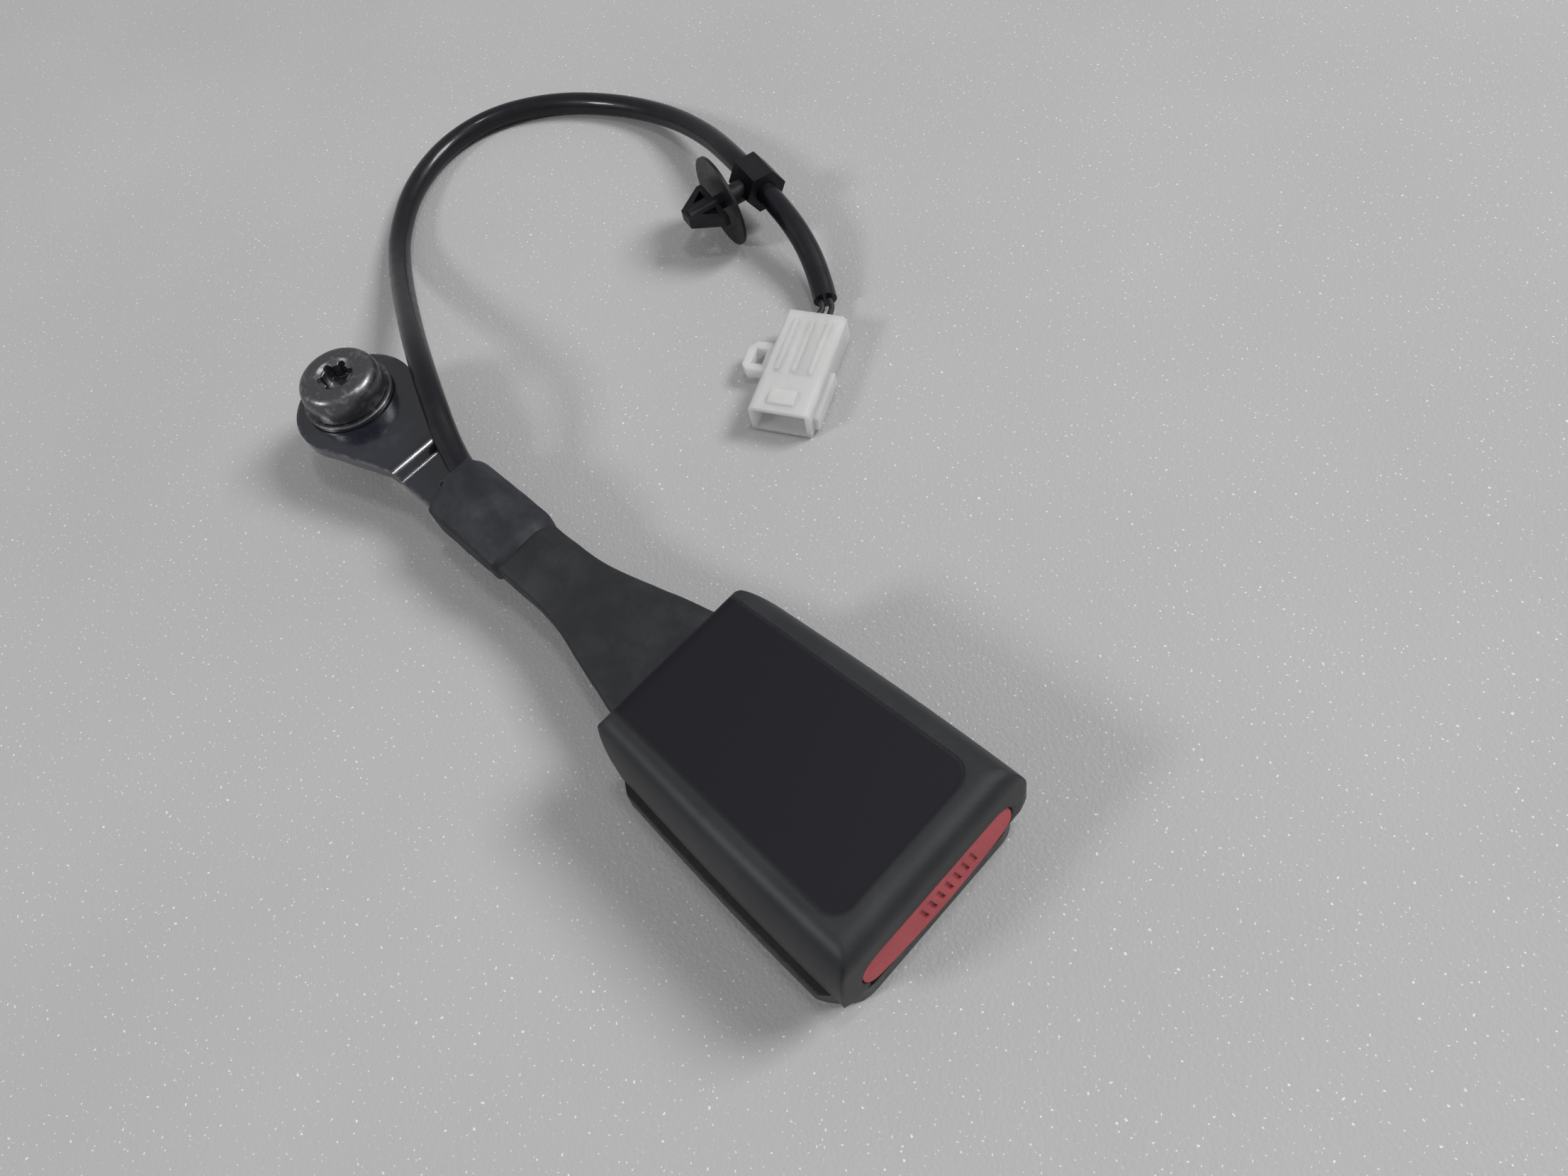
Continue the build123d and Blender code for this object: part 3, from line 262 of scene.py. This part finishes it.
def worn_and_lit_edges_group():
    """Rounds the shading of sharp edges, and puts out a broken mask that is white on them, for
    wear and painted highlight.
    """
    group, entry, leave = new_group(
        "worn_and_lit_edges",
        {"Vector": "Vector", "Width": "Float", "Amount": "Float"},
        {"Mask": "Float", "Normal": "Vector"})
    rounded = add_node(group.nodes, "Bevel", samples=4)
    surface = add_node(group.nodes, "NewGeometry")
    same = add_node(group.nodes, "VectorMath", operation="DOT_PRODUCT")
    edge = add_node(group.nodes, "MapRange", {"From Min": 0.985, "From Max": 0.90})
    patchy = add_node(group.nodes, "TexNoise", {"Scale": 300.0})
    broken = add_node(group.nodes, "MapRange", {"From Min": 0.42, "From Max": 0.62})
    edge_patches = add_node(group.nodes, "Math", operation="MULTIPLY")
    scaled = add_node(group.nodes, "Math", operation="MULTIPLY")
    join_up(group.links,
            (entry.outputs["Width"], rounded.inputs["Radius"]),
            (rounded.outputs["Normal"], same.inputs[0]),
            (surface.outputs["Normal"], same.inputs[1]),
            (same.outputs["Value"], edge.inputs["Value"]),
            (entry.outputs["Vector"], patchy.inputs["Vector"]),
            (patchy.outputs["Fac"], broken.inputs["Value"]),
            (edge.outputs["Result"], edge_patches.inputs[0]),
            (broken.outputs["Result"], edge_patches.inputs[1]),
            (edge_patches.outputs["Value"], scaled.inputs[0]),
            (entry.outputs["Amount"], scaled.inputs[1]),
            (scaled.outputs["Value"], leave.inputs["Mask"]),
            (rounded.outputs["Normal"], leave.inputs["Normal"]))
    return group


worn_and_lit_edges = worn_and_lit_edges_group()


def lay_over(finish, mask, colour):
    """Lays a colour over a finish's own where the mask is white."""
    nodes, links, shader, _ = inside(finish)
    blend = add_node(nodes, "Mix", {"B": (*colour, 1)}, data_type="RGBA")
    before = shader.inputs["Base Color"].links[0].from_socket
    join_up(links,
            (before, blend.inputs["A"]),
            (mask, blend.inputs["Factor"]),
            (blend.outputs["Result"], shader.inputs["Base Color"]))


def add_worn_and_lit_edges(finish, width, amount, colour):
    """Lays a lighter colour over a finish's edges, painted highlight along with wear, and rounds
    their shading.
    """
    nodes, links, shader, place = inside(finish)
    wear = add_node(nodes, "Group", {"Width": width, "Amount": amount}, node_tree=worn_and_lit_edges)
    lay_over(finish, wear.outputs["Mask"], colour)
    bump = shader.inputs["Normal"].links[0].from_node
    join_up(links,
            (place, wear.inputs["Vector"]),
            (wear.outputs["Normal"], bump.inputs["Normal"]))


black_coat = new_finish("gloss_black_coat", (0.012, 0.013, 0.018), 0.2,
                        {"Coat Weight": 0.8, "Coat Roughness": 0.07})
add_grain(black_coat, scale=260.0, depth=0.00010, strength=0.35, roughness=(0.14, 0.26))
add_mottle(black_coat, (0.007, 0.008, 0.013), (0.020, 0.022, 0.028),
           scale=160.0, low=0.56, high=0.80)
# Lighter edges: mostly painted highlight, for the shine on the coat's rounded edges, with a
# little rubbing.
add_worn_and_lit_edges(black_coat, width=0.0010, amount=0.8, colour=(0.16, 0.16, 0.17))
finish_node("anchor_bracket", black_coat)

# ------------------------------------------------------------------ anchor bolt
# 7/16 in belt bolt: domed head with a rim and a six-lobed recess, and a washer
# under it. Zinc-grey steel, worn, with bright flecks where the plating is
# scuffed. The retainer disc under the eye is black nylon.
worn_steel = new_finish("worn_bolt_steel", (0.2, 0.2, 0.2), 0.4, {"Metallic": 0.9})
add_grain(worn_steel, scale=1200.0, depth=0.00005, strength=0.45, roughness=(0.24, 0.42))
add_mottle(worn_steel, (0.115, 0.116, 0.122), (0.36, 0.36, 0.37),
           scale=480.0, low=0.52, high=0.80)
# Lighter edges: painted highlight along with worn plating.
add_worn_and_lit_edges(worn_steel, width=0.0004, amount=0.8, colour=(0.42, 0.42, 0.43))
finish_node("anchor_bolt", worn_steel)
finish_node("bolt_washer", worn_steel)
black_nylon = new_finish("black_nylon", (0.006, 0.006, 0.008), 0.42,
                         {"Specular IOR Level": 0.3})
add_grain(black_nylon, scale=900.0, depth=0.00005, roughness=(0.36, 0.52))
add_mottle(black_nylon, (0.0055, 0.0055, 0.0075), (0.012, 0.012, 0.014),
           scale=220.0, low=0.48, high=0.78)
finish_node("bolt_retainer", black_nylon)

# ------------------------------------------------------------------ conduit
# Black plastic tube, 6 mm outside, over the two switch wires. It leaves the
# shrink band, crosses the eye beside the bolt and lies on the floor; the clip
# lifts it near its far end.
conduit_radius = 0.0030
conduit_route = [
    (0.0520, 0.0026, 0.00365),
    (0.0430, 0.0032, 0.0038),
    (0.0340, 0.0060, 0.0060),
    (0.0230, 0.0112, 0.0092),
    (0.0121, 0.0160, 0.0088),
    (0.0007, 0.0208, 0.0060),
    (-0.0129, 0.0266, 0.0012),
    (-0.0265, 0.0326, -0.0036),
    (-0.0395, 0.0390, -0.0076),
    (-0.0515, 0.0464, -0.0100),
    (-0.0645, 0.0605, -0.0104),
    (-0.0712, 0.0780, -0.0104),
    (-0.0692, 0.0955, -0.0104),
    (-0.0575, 0.1105, -0.0104),
    (-0.0405, 0.1205, -0.0104),
    (-0.0215, 0.1248, -0.0090),
    (-0.0020, 0.1225, -0.0052),
    (0.0150, 0.1172, -0.0015),
    (0.0320, 0.1126, -0.0015),
    (0.0460, 0.1090, -0.0038),
    (0.0570, 0.1042, -0.0076),
    (0.0645, 0.0986, -0.0094),
]
conduit_curve = bpy.data.curves.new("conduit", "CURVE")
conduit_curve.dimensions = "3D"
conduit_curve.bevel_depth = 1.0        # times each point's radius
conduit_curve.bevel_resolution = 6
conduit_curve.resolution_u = 10
conduit_curve.use_fill_caps = True
spline = conduit_curve.splines.new("NURBS")
spline.points.add(len(conduit_route) - 1)
for point, place in zip(spline.points, conduit_route):
    point.co = (*place, 1)
    point.radius = conduit_radius
spline.order_u = 3
spline.use_endpoint_u = True
conduit = bpy.data.objects.new("conduit", conduit_curve)
scene.collection.objects.link(conduit)
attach(conduit, "stalk")
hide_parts("wire_conduit")

tube_black = new_finish("half_gloss_tube", (0.008, 0.008, 0.010), 0.3,
                        {"Specular IOR Level": 0.22, "Coat Weight": 0.25,
                         "Coat Roughness": 0.08})
add_grain(tube_black, scale=260.0, depth=0.00010, strength=0.35, roughness=(0.26, 0.40))
add_mottle(tube_black, (0.0050, 0.0052, 0.0075), (0.011, 0.011, 0.014),
           scale=70.0, low=0.52, high=0.80)
conduit_curve.materials.append(tube_black)

# ------------------------------------------------------------------ sleeve boot
# Soft dark grey sleeve of thin plastic, pushed over the strap and the two
# wires. It starts narrow under the shrink band and flares to fill the rear
# opening of the covers; the ridge over the wires fades as it widens.
boot_stations = (
    # x, width, lower edge down, upper edge up, ridge up, ridge aside
    (0.0570, 1.00, 0.0000, 0.0000, 0.0026, 0.0016),
    (0.0790, 1.00, 0.0000, 0.0000, 0.0026, 0.0014),
    (0.0830, 1.03, 0.0013, -0.0001, 0.0025, 0.0012),
    (0.0870, 1.10, 0.0026, 0.0001, 0.0024, 0.0010),
    (0.0940, 1.30, 0.0028, 0.0004, 0.0022, 0.0009),
    (0.1020, 1.57, 0.0029, 0.0007, 0.0021, 0.0007),
    (0.1110, 1.85, 0.0030, 0.0010, 0.0021, 0.0004),
    (0.1170, 2.00, 0.0031, 0.0012, 0.0022, 0.0002),
    (0.1215, 2.10, 0.0031, 0.0013, 0.0022, 0.0000),
)
boot_half, boot_low, boot_side = 0.0078, -0.0032, 0.0014
boot_edge = 0.0077                     # points further out than this are on a long edge
lower_edge_top = -0.0020               # a lower long edge keeps under this height
upper_edge_top = 0.0035                # and an upper one between zero and this height
boot_cut = 0.0032                      # the lengthwise cuts that the ridge rises between
boot_wall = 0.0005
ridge_half = 0.0060                    # points nearer in than this carry the ridge
at_station = 1e-5                      # how near a point is to a station that it is on
along_tube = 1e-4                      # an edge that runs further along X than this is lengthwise


def pick(piece, wanted):
    """In edit mode, selects the points of a piece for which wanted(x, y, z) holds."""
    mesh = bmesh.from_edit_mesh(piece.data)
    bpy.ops.mesh.select_all(action="DESELECT")
    for point in mesh.verts:
        point.select = wanted(*point.co)
    mesh.select_flush(True)
    bmesh.update_edit_mesh(piece.data)


def open_tube(name, stations, half_width, z_ends, cuts_y):
    """A flat tube, open at the first and last station, cut across at the rest."""
    x_ends = (stations[0][0], stations[-1][0])
    bpy.ops.object.select_all(action="DESELECT")
    middle = (sum(x_ends) / 2, 0, sum(z_ends) / 2)
    bpy.ops.mesh.primitive_cube_add(size=1, location=middle)
    piece = bpy.context.object
    piece.name = name
    piece.scale = (x_ends[1] - x_ends[0], 2 * half_width, z_ends[1] - z_ends[0])
    bpy.ops.object.transform_apply(location=True, rotation=True, scale=True)
    bpy.ops.object.mode_set(mode="EDIT")
    for station in stations[1:-1]:
        bpy.ops.mesh.select_all(action="SELECT")
        bpy.ops.mesh.bisect(plane_co=(station[0], 0, 0), plane_no=(1, 0, 0))
    for y in cuts_y:
        bpy.ops.mesh.select_all(action="SELECT")
        bpy.ops.mesh.bisect(plane_co=(0, y, 0), plane_no=(0, 1, 0))
    for end in x_ends:
        pick(piece, lambda x, y, z: abs(x - end) < at_station)
        bpy.ops.mesh.delete(type="ONLY_FACE")
    return piece


def draw_station(piece, x_at, width, down, up, ridge, aside):
    """Shapes one station of a tube: its ridge, its upper and lower edges and its width."""
    pick(piece, lambda x, y, z: abs(x - x_at) < at_station and z > 0 and abs(y) < ridge_half)
    bpy.ops.transform.translate(value=(0, aside, ridge))
    pick(piece, lambda x, y, z: abs(x - x_at) < at_station and z > 0)
    bpy.ops.transform.translate(value=(0, 0, up))
    pick(piece, lambda x, y, z: abs(x - x_at) < at_station and z < 0)
    bpy.ops.transform.translate(value=(0, 0, -down))
    pick(piece, lambda x, y, z: abs(x - x_at) < at_station)
    bpy.ops.transform.resize(value=(1, width, 1), center_override=(x_at, 0, 0))


def soft_skin(piece, on_corner, crease, wall, puckers, pucker_size):
    """Creases the long corners, rounds the skin, puckers it a little and gives it a wall."""
    mesh = bmesh.from_edit_mesh(piece.data)
    bpy.ops.mesh.select_all(action="DESELECT")
    for edge in mesh.edges:
        a, b = edge.verts
        lengthwise = abs(a.co.x - b.co.x) > along_tube
        edge.select = lengthwise and on_corner(a.co) and on_corner(b.co)
    bmesh.update_edit_mesh(piece.data)
    bpy.ops.transform.edge_crease(value=crease)
    bpy.ops.object.mode_set(mode="OBJECT")
    bpy.ops.object.shade_smooth()
    rounded = piece.modifiers.new("rounded", "SUBSURF")
    rounded.levels = rounded.render_levels = 3
    clouds = bpy.data.textures.new(piece.name + "_puckers", "CLOUDS")
    clouds.noise_scale = pucker_size
    pucker = piece.modifiers.new("pucker", "DISPLACE")
    pucker.texture = clouds
    pucker.strength = puckers
    pucker.mid_level = 0.5
    skin = piece.modifiers.new("wall", "SOLIDIFY")
    skin.thickness = wall
    skin.offset = -1.0
    for modifier in ("rounded", "pucker", "wall"):
        bpy.ops.object.modifier_apply(modifier=modifier)


boot = open_tube("sleeve_skin", boot_stations, boot_half, (boot_low, boot_side),
                 cuts_y=(-boot_cut, 0.0, boot_cut))
for station in boot_stations:
    draw_station(boot, *station)
soft_skin(boot, lambda place: abs(place.y) > boot_edge and
          (place.z < lower_edge_top or 0.0 < place.z < upper_edge_top),
          crease=0.62, wall=boot_wall, puckers=0.0005, pucker_size=0.011)
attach(boot, "stalk")
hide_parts("sleeve_boot")
sleeve_grey = new_finish("soft_sleeve", (0.013, 0.014, 0.016), 0.5,
                         {"Specular IOR Level": 0.3})
add_grain(sleeve_grey, scale=700.0, depth=0.00005, roughness=(0.46, 0.60))
add_mottle(sleeve_grey, (0.012, 0.0128, 0.0145), (0.024, 0.025, 0.027),
           scale=110.0, low=0.45, high=0.78)
boot.data.materials.append(sleeve_grey)

# ------------------------------------------------------------------ shrink band
# Heat-shrunk tube of dark plastic that binds the conduit and the sleeve's end
# to the strap. It is drawn in over the two edges of what it holds, and stands
# up in a ridge over the conduit.
band_half, band_low, band_side = 0.0086, -0.0040, 0.0029
band_edge = 0.0080                     # points further out than this are on a long edge
band_cut = 0.0030
band_wall = 0.0006
band_stations = (
    # x, width, drawn in, ridge up, ridge aside
    (0.0430, 0.955, 0.0000, 0.0046, 0.0028),
    (0.0445, 1.000, 0.0000, 0.0052, 0.0027),
    (0.0500, 1.010, 0.0000, 0.0053, 0.0026),
    (0.0555, 1.000, 0.0000, 0.0048, 0.0024),
    (0.0600, 0.995, 0.0000, 0.0034, 0.0021),
    (0.0645, 1.000, 0.0002, 0.0028, 0.0018),
    (0.0672, 1.015, 0.0005, 0.0028, 0.0017),
    (0.0688, 0.905, 0.0016, 0.0026, 0.0016),
)
band = open_tube("shrink_skin", band_stations, band_half, (band_low, band_side),
                 cuts_y=(-band_cut, 0.0, band_cut))
for x_at, width, drawn, ridge, aside in band_stations:
    draw_station(band, x_at, width, -drawn / 2, -drawn, ridge, aside)
soft_skin(band, lambda place: abs(place.y) > band_edge,
          crease=0.60, wall=band_wall, puckers=0.0005, pucker_size=0.008)
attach(band, "stalk")
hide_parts("shrink_band")
shrink_black = new_finish("shrink_tube_black", (0.013, 0.014, 0.018), 0.48,
                          {"Specular IOR Level": 0.3})
add_grain(shrink_black, scale=500.0, depth=0.00008, strength=0.6, roughness=(0.50, 0.64))
add_mottle(shrink_black, (0.012, 0.013, 0.0165), (0.024, 0.026, 0.032),
           scale=150.0, low=0.45, high=0.75)
band.data.materials.append(shrink_black)

# ------------------------------------------------------------------ buckle covers
# Two shells of black plastic that snap together. The upper one has a finely
# grained flat on top, sunk a hair, and smoother drawn sides. The flat is
# painted darker and the sides lighter: its real change of grain, with painted
# shade on the flat and painted sheen on the sides. The lower one is smooth, and
# its darker black carries painted shade for the groove between the shells.
# Both have lighter edges, painted highlight along with a little rubbing.
flat_rear, flat_rear_half = 0.1175, 0.0156
flat_mouth, flat_mouth_half = 0.1845, 0.0180
flat_front = 0.1782
flat_corner = 0.0045
flat_blur = 0.0007
flat_low, flat_high = 0.0125, 0.0150   # between these heights the flat's finish comes in


def spread_node(nodes, links, value, values, **settings):
    """A Map Range node on one socket, and its result."""
    spread = add_node(nodes, "MapRange", values, **settings)
    links.new(value, spread.inputs["Value"])
    return spread.outputs["Result"]


def sum_node(nodes, links, operation, *terms):
    """A Math node on sockets and numbers, and its result."""
    result = add_node(nodes, "Math", operation=operation)
    for socket, term in zip(result.inputs, terms):
        if isinstance(term, float):
            socket.default_value = term
        else:
            links.new(term, socket)
    return result.outputs["Value"]


def flat_mask(finish):
    """White on the flat of the upper cover, a rounded oblong that widens to the mouth."""
    nodes, links, _, place = inside(finish)
    parts = add_node(nodes, "SeparateXYZ")
    links.new(place, parts.inputs["Vector"])
    half_here = spread_node(nodes, links, parts.outputs["X"],
                            {"From Min": flat_rear, "From Max": flat_mouth,
                             "To Min": flat_rear_half, "To Max": flat_mouth_half})
    aside = sum_node(nodes, links, "ABSOLUTE", parts.outputs["Y"])
    beside = sum_node(nodes, links, "SUBTRACT", aside, half_here)
    over_side = sum_node(nodes, links, "ADD", beside, flat_corner)
    over_front = sum_node(nodes, links, "SUBTRACT", parts.outputs["X"],
                          flat_front - flat_corner)
    corner = add_node(nodes, "CombineXYZ")
    for over, socket in ((over_side, "X"), (over_front, "Y")):
        links.new(sum_node(nodes, links, "MAXIMUM", over, 0.0), corner.inputs[socket])
    reach = add_node(nodes, "VectorMath", operation="LENGTH")
    links.new(corner.outputs["Vector"], reach.inputs[0])
    patch = spread_node(nodes, links, reach.outputs["Value"],
                        {"From Min": flat_corner + flat_blur,
                         "From Max": flat_corner - flat_blur},
                        interpolation_type="SMOOTHSTEP")
    on_top = spread_node(nodes, links, parts.outputs["Z"],
                         {"From Min": flat_low, "From Max": flat_high})
    return sum_node(nodes, links, "MULTIPLY", patch, on_top)


cover_black = new_finish("grained_cover", (0.014, 0.015, 0.016), 0.5,
                         {"Specular IOR Level": 0.22})
on_flat = flat_mask(cover_black)
# The sides' lighter grey is partly painted sheen, from how light falls on them.
add_mottle(cover_black, (0.0185, 0.0195, 0.0210), (0.027, 0.028, 0.031),
           scale=60.0, low=0.45, high=0.75)
# Painted shade: the flat is laid over in a darker purple black, along with its real grain.
lay_over(cover_black, on_flat, (0.0044, 0.0040, 0.0072))
add_grain(cover_black, scale=1400.0, depth=0.00006)
nodes, links, shader, _ = inside(cover_black)
cover_rough = spread_node(nodes, links, on_flat, {"To Min": 0.44, "To Max": 0.62})
links.new(cover_rough, shader.inputs["Roughness"])
# Lighter edges: a faint painted highlight, with a little rubbing.
add_worn_and_lit_edges(cover_black, width=0.0018, amount=0.12, colour=(0.030, 0.031, 0.033))
finish_node("upper_cover", cover_black)
# Darker than the upper shell: its own black, with painted shade for the groove between the
# shells.
lower_black = new_finish("smooth_cover", (0.004, 0.004, 0.005), 0.34,
                         {"Specular IOR Level": 0.3})
add_grain(lower_black, scale=900.0, depth=0.00004, strength=0.4, roughness=(0.30, 0.42))
add_mottle(lower_black, (0.0035, 0.0035, 0.0045), (0.009, 0.0095, 0.0105),
           scale=70.0, low=0.5, high=0.8)
# Lighter edges: a painted highlight rim, with a little rubbing.
add_worn_and_lit_edges(lower_black, width=0.0005, amount=0.4, colour=(0.020, 0.021, 0.022))
finish_node("lower_cover", lower_black)

# ------------------------------------------------------------------ press button
# Red plastic, satin, with a short row of slanted finger ribs on its face.
# It slides in the mouth of the upper cover. The red is a little uneven, and
# paler along its edges.
button_red = new_finish("satin_red", (0.33, 0.045, 0.052), 0.42)
add_grain(button_red, scale=1100.0, depth=0.00004, strength=0.4, roughness=(0.38, 0.50))
add_mottle(button_red, (0.36, 0.052, 0.060), (0.29, 0.036, 0.043),
           scale=120.0, low=0.40, high=0.70)
add_worn_and_lit_edges(button_red, width=0.0004, amount=0.5, colour=(0.40, 0.075, 0.082))
finish_node("press_button", button_red)

# ------------------------------------------------------------------ latch mechanism
# Pressed and plated steel: the channel that the covers close over, the latch
# plate on its pin, the lock pin across the walls and the rivet that holds the
# channel to the strap. The springs are bright drawn wire.
plated_steel = new_finish("plated_steel", (0.5, 0.5, 0.48), 0.35, {"Metallic": 0.95})
add_grain(plated_steel, scale=650.0, depth=0.00004, roughness=(0.26, 0.44))
add_mottle(plated_steel, (0.50, 0.49, 0.46), (0.36, 0.35, 0.33),
           scale=240.0, low=0.45, high=0.70)
for name in ("buckle_frame", "latch_plate", "latch_pin", "lock_pin", "strap_rivet"):
    finish_node(name, plated_steel)
drawn_wire = new_finish("drawn_wire", (0.45, 0.45, 0.46), 0.25, {"Metallic": 1.0})
add_grain(drawn_wire, scale=1800.0, depth=0.00002, strength=0.4, roughness=(0.18, 0.32))
add_mottle(drawn_wire, (0.46, 0.46, 0.47), (0.30, 0.29, 0.28),
           scale=500.0, low=0.5, high=0.75)
finish_node("latch_spring", drawn_wire)


def pressed_coil(node):
    """A coil of its own in a spring's place: a welded, smooth shaded copy of the spring's mesh,
    on the stalk.
    """
    bpy.ops.object.select_all(action="DESELECT")
    coil = bpy.data.objects.new(node + "_wire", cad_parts[node].data.copy())
    scene.collection.objects.link(coil)
    coil.select_set(True)
    bpy.context.view_layer.objects.active = coil
    bpy.ops.object.mode_set(mode="EDIT")
    bpy.ops.mesh.select_all(action="SELECT")
    bpy.ops.mesh.remove_doubles(threshold=1e-6)
    bpy.ops.object.mode_set(mode="OBJECT")
    bpy.ops.object.shade_smooth_by_angle(angle=math.radians(40))
    coil.data.materials.clear()
    coil.data.materials.append(drawn_wire)
    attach(coil, "stalk")
    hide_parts(node)
    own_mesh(coil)


pressed_coil("button_springs")
pressed_coil("ejector_spring")

# ------------------------------------------------------------------ ejector and switch
# The ejector block that the tongue pushes back, and the switch's plunger, are
# moulded in white nylon; the switch's case is black nylon. The two wires have
# thin black insulation.
white_nylon = new_finish("white_nylon", (0.72, 0.71, 0.66), 0.4,
                         {"Subsurface Weight": 0.15, "Subsurface Scale": 0.001})
add_grain(white_nylon, scale=800.0, depth=0.00003, strength=0.4, roughness=(0.34, 0.48))
add_mottle(white_nylon, (0.73, 0.72, 0.67), (0.63, 0.61, 0.54),
           scale=180.0, low=0.5, high=0.8)
for name in ("ejector", "switch_plunger"):
    finish_node(name, white_nylon)
finish_node("buckle_switch", black_nylon)
wire_black = new_finish("wire_insulation", (0.02, 0.02, 0.022), 0.35)
add_grain(wire_black, scale=700.0, depth=0.00003, strength=0.4, roughness=(0.30, 0.44))
add_mottle(wire_black, (0.018, 0.018, 0.020), (0.034, 0.034, 0.036),
           scale=260.0, low=0.48, high=0.78)
for name in ("inner_leads", "end_leads"):
    finish_node(name, wire_black)

# ------------------------------------------------------------------ harness clip
# Black nylon clip: a saddle round the conduit, a thin dished disc and a fir
# stem that snaps into a hole in the seat's frame.
finish_node("harness_clip", black_nylon)

# ------------------------------------------------------------------ connector
# Natural nylon plug housing, milky and a little see-through, with a locking
# arm on top. Its two flat terminals are tinned brass.
milky_nylon = new_finish("natural_nylon", (0.68, 0.68, 0.67), 0.5,
                         {"Specular IOR Level": 0.3, "Transmission Weight": 0.25,
                          "Subsurface Weight": 1.0, "Subsurface Scale": 0.006,
                          "Subsurface Radius": (1.0, 1.0, 0.9), "Alpha": 0.72})
add_grain(milky_nylon, scale=500.0, depth=0.00003, strength=0.4, roughness=(0.28, 0.42))
add_mottle(milky_nylon, (0.70, 0.70, 0.69), (0.65, 0.65, 0.635),
           scale=130.0, low=0.5, high=0.8)
finish_node("connector_housing", milky_nylon)
tinned_brass = new_finish("tinned_brass", (0.66, 0.60, 0.46), 0.3, {"Metallic": 1.0})
add_grain(tinned_brass, scale=1200.0, depth=0.00002, strength=0.4, roughness=(0.22, 0.36))
add_mottle(tinned_brass, (0.66, 0.60, 0.46), (0.60, 0.60, 0.58),
           scale=400.0, low=0.45, high=0.65)
finish_node("connector_terminals", tinned_brass)
